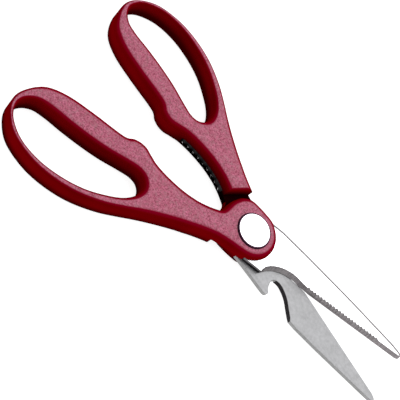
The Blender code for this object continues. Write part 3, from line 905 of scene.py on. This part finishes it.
rear_spine = [Vector(HEEL)] + smooth(OPENER_HOOK + OPENER_HOLLOW, CURVE_STEPS)
rear_spine += [Vector(p) for p in OPENER_KNEE + OPENER_SPINE]
front_spine = [Vector(p) for p in [HEEL] + PLAIN_SPINE]
halves = [
    ("rear", rear_matrix, blade_outline(rear_spine, REAR_TIP, REAR_EDGE), 0.0, 0.0),
    ("front", front_matrix, blade_outline(front_spine, FRONT_TIP, FRONT_EDGE), CAP_STAND, CAP_CROWN),
]
plastics = [
    handle_plastic("red_plastic"),
    handle_plastic("hole_shade_plastic", (HOLE_SHADE, 0.15, 0.85, 200.0, 210.0)),
    handle_plastic("hollow_shade_plastic", (HOLLOW_SHADE, 0.42, 0.95, 49.0, 62.0)),
]
shaded_steel = plain_metal("shaded_steel", SHADED_STEEL, (0.4, 0.6), 500.0)
blade_metals = {
    "rear": [
        blade_steel("rear_steel", REAR_STEEL, (0.6, 0.72), half_turn),
        ground_steel("rear_ground", REAR_GROUND, half_turn),
        plain_metal("rear_sawn", REAR_SAWN, (0.45, 0.6), 600.0),
        shaded_steel,
    ],
    "front": [
        blade_steel("front_steel", FRONT_STEEL, (0.24, 0.34), -half_turn),
        ground_steel("front_ground", FRONT_GROUND, -half_turn),
        plain_metal("front_sawn_shaded", FRONT_SAWN_SHADED, (0.45, 0.6), 600.0),
        shaded_steel,
    ],
}
jaw_metals = [
    plain_metal("jaw_metal", JAW_STEEL, (0.4, 0.6), 500.0),
    plain_metal("jaw_glint", JAW_GLINT, (0.25, 0.4), 500.0),
]
cap_metals = [
    plain_metal("cap_metal", CAP_STEEL, (0.10, 0.16), 200.0),
    plain_metal("cap_rim_shade", CAP_RING, (0.35, 0.5), 600.0),
]
hardware_zinc = plain_metal("hardware_zinc", ZINC, (0.3, 0.45), 400.0)

for side, matrix, (outline, ground), stand, crown in halves:
    handle = make_handle(side + "_handle_moulding", matrix, outline)
    handle.data.materials.clear()
    coat(handle, plastics)
    shade_walls(handle, matrix)
    blade = make_blade(side + "_blade_ground", outline, ground, side, matrix, blade_metals[side])
    made = {
        "handle": handle,
        "blade": blade,
        "jar_jaw": make_jaw(side + "_jaw_teeth", matrix, jaw_metals),
        "cap": make_cap(side + "_cap_polished", stand, crown, matrix, cap_metals),
    }
    for kind, piece in made.items():
        node = side + "_" + kind
        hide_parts(node)
        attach(piece, side + "_half")

for node in ("pivot_screw", "spring_washer", "pivot_nut"):
    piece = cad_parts[node]
    piece.data.materials.clear()
    coat(piece, [hardware_zinc])

# ---------------------------------------------------------------- stage
FLOOR = 3.0                 # half the floor's width, metres
FLOOR_GAP = 0.00005
floor_mesh = bpy.data.meshes.new("floor")
corners = [(x * FLOOR, y * FLOOR, 0.0) for x, y in ((-1, -1), (1, -1), (1, 1), (-1, 1))]
floor_mesh.from_pydata(corners, [], [(0, 1, 2, 3)])
floor = bpy.data.objects.new("floor", floor_mesh)
floor.location.z = cad_low.z - FLOOR_GAP
bpy.context.scene.collection.objects.link(floor)
coat(floor, [floor_white("pale_floor")])

world = bpy.data.worlds.new("studio")
bpy.context.scene.world = world
world.use_nodes = True
background = world.node_tree.nodes["Background"]
background.inputs["Color"].default_value = (*WHITE, 1.0)
background.inputs["Strength"].default_value = 0.55

centre = (cad_low + cad_high) / 2


def area_light(name, direction, distance, size, power):
    """Square light that far from the part's centre in that direction, facing it."""
    light = bpy.data.lights.new(name, "AREA")
    light.size = size
    light.energy = power
    obj = bpy.data.objects.new(name, light)
    toward = Vector(direction).normalized()
    obj.location = centre + toward * distance
    obj.rotation_euler = (-toward).to_track_quat("-Z", "Y").to_euler()
    bpy.context.scene.collection.objects.link(obj)


area_light("key", (0.10, 0.58, 0.81), 1.1, 1.2, 8.5)
area_light("top", (0.25, 0.25, 1.0), 1.3, 1.4, 5.0)

# ---------------------------------------------------------------- camera
# The camera looks at AIM from AZIMUTH and ELEVATION and is rolled by ROLL.  Angles are in
# degrees, AIM and DISTANCE in metres, LENS and SENSOR in millimetres.
AIM = Vector((-0.02798, -0.00974, 0.01175))
AZIMUTH = -9.63
ELEVATION = 53.92
DISTANCE = 0.42804
ROLL = 53.5
LENS = 86.24
SENSOR = 36.0
a = math.radians(AZIMUTH)
e = math.radians(ELEVATION)
back = Vector((math.sin(a) * math.cos(e), -math.cos(a) * math.cos(e), math.sin(e)))
camera_data = bpy.data.cameras.new("camera")
camera_data.lens = LENS
camera_data.sensor_width = SENSOR
camera_data.clip_start = 0.01
camera = bpy.data.objects.new("camera", camera_data)
upright = (-back).to_track_quat("-Z", "Y").to_matrix()
spin = Matrix.Rotation(math.radians(ROLL), 3, "Z")
camera.matrix_world = Matrix.Translation(AIM + back * DISTANCE) @ (upright @ spin).to_4x4()
bpy.context.scene.collection.objects.link(camera)
bpy.context.scene.camera = camera
bpy.context.scene.view_settings.view_transform = "Standard"
